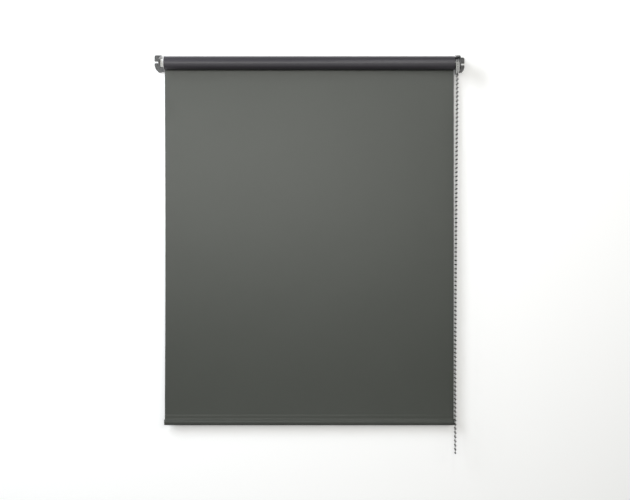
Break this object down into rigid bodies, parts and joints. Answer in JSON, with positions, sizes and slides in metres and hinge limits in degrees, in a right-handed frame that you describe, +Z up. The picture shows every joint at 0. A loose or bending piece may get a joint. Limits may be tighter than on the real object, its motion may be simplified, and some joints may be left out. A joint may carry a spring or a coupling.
{
  "type": "roller blind",
  "caption": "Chain-driven roller blind: cloth wound on a tube between two wall brackets, a weighted hem, a side drive and a bead chain loop.",
  "frame": {"origin": "on the wall plane, midway between the inner faces of the two side plates, at the height of the roller's axis", "axes": "+X along the roller towards the chain, +Y into the wall, +Z up"},
  "size_m": [0.8915, 0.066, 1.1432],
  "materials": {
    "bracket_paint": "semi-gloss charcoal powder coat",
    "housing_plastic": "gloss black moulding",
    "drive_plastic": "satin dark grey moulding",
    "idle_nylon": "natural white nylon",
    "tube_aluminium": "mill-finish extrusion",
    "spring_steel": "zinc-plated",
    "cloth": "smooth coated dim-out cloth, grey-green room side",
    "cloth_back": "reverse of the same cloth, violet-grey",
    "trim_plastic": "satin black trim",
    "bead_plastic": "satin dark grey beads on a cord"
  },
  "bodies": {
    "root": {"idle_bracket": "bracket_paint", "drive_bracket": "bracket_paint", "drive_housing": "housing_plastic", "drive_cover": "housing_plastic", "core_screw": "spring_steel", "core_washer": "spring_steel", "bead_chain": "bead_plastic"},
    "roller": {"roller_tube": "tube_aluminium", "fabric_roll": "cloth_back", "fabric_strip": "trim_plastic", "idle_plug": "idle_nylon", "idle_spring": "spring_steel", "idle_spring_cap": "idle_nylon", "tube_adapter": "drive_plastic"},
    "chain_wheel": {"chain_wheel": "drive_plastic", "clutch_spring_up": "spring_steel", "clutch_spring_down": "spring_steel"},
    "idle_pin": {"idle_pin": "spring_steel"},
    "hem": {"hem_pocket": "cloth", "hem_bar": "tube_aluminium", "hem_cap_idle": "trim_plastic", "hem_cap_drive": "trim_plastic", "fabric_drop": "cloth"}
  },
  "joints": [
    {"name": "roller_spin", "type": "hinge", "parent": "root", "child": "roller", "pos_m": [0, -0.038, 0], "axis": [1, 0, 0], "range_deg": [-1800, 2820]},
    {"name": "chain_wheel_spin", "type": "hinge", "parent": "root", "child": "chain_wheel", "pos_m": [0, -0.038, 0], "axis": [1, 0, 0], "range_deg": [-1800, 2820]},
    {"name": "hem_lift", "type": "slide", "parent": "root", "child": "hem", "axis": [0, 0, 1], "range_m": [-0.607, 0.95], "deforming": ["fabric_drop"]},
    {"name": "idle_pin_slide", "type": "slide", "parent": "root", "child": "idle_pin", "axis": [1, 0, 0], "range_m": [0, 0.0055], "stiffness_N_per_m": 600, "springref_m": -0.003, "deforming": ["idle_spring"]}
  ],
  "couplings": [
    {"joint": "chain_wheel_spin", "follows": "roller_spin", "ratio": 1},
    {"joint": "hem_lift", "follows": "roller_spin", "m_per_rad": 0.0193}
  ]
}
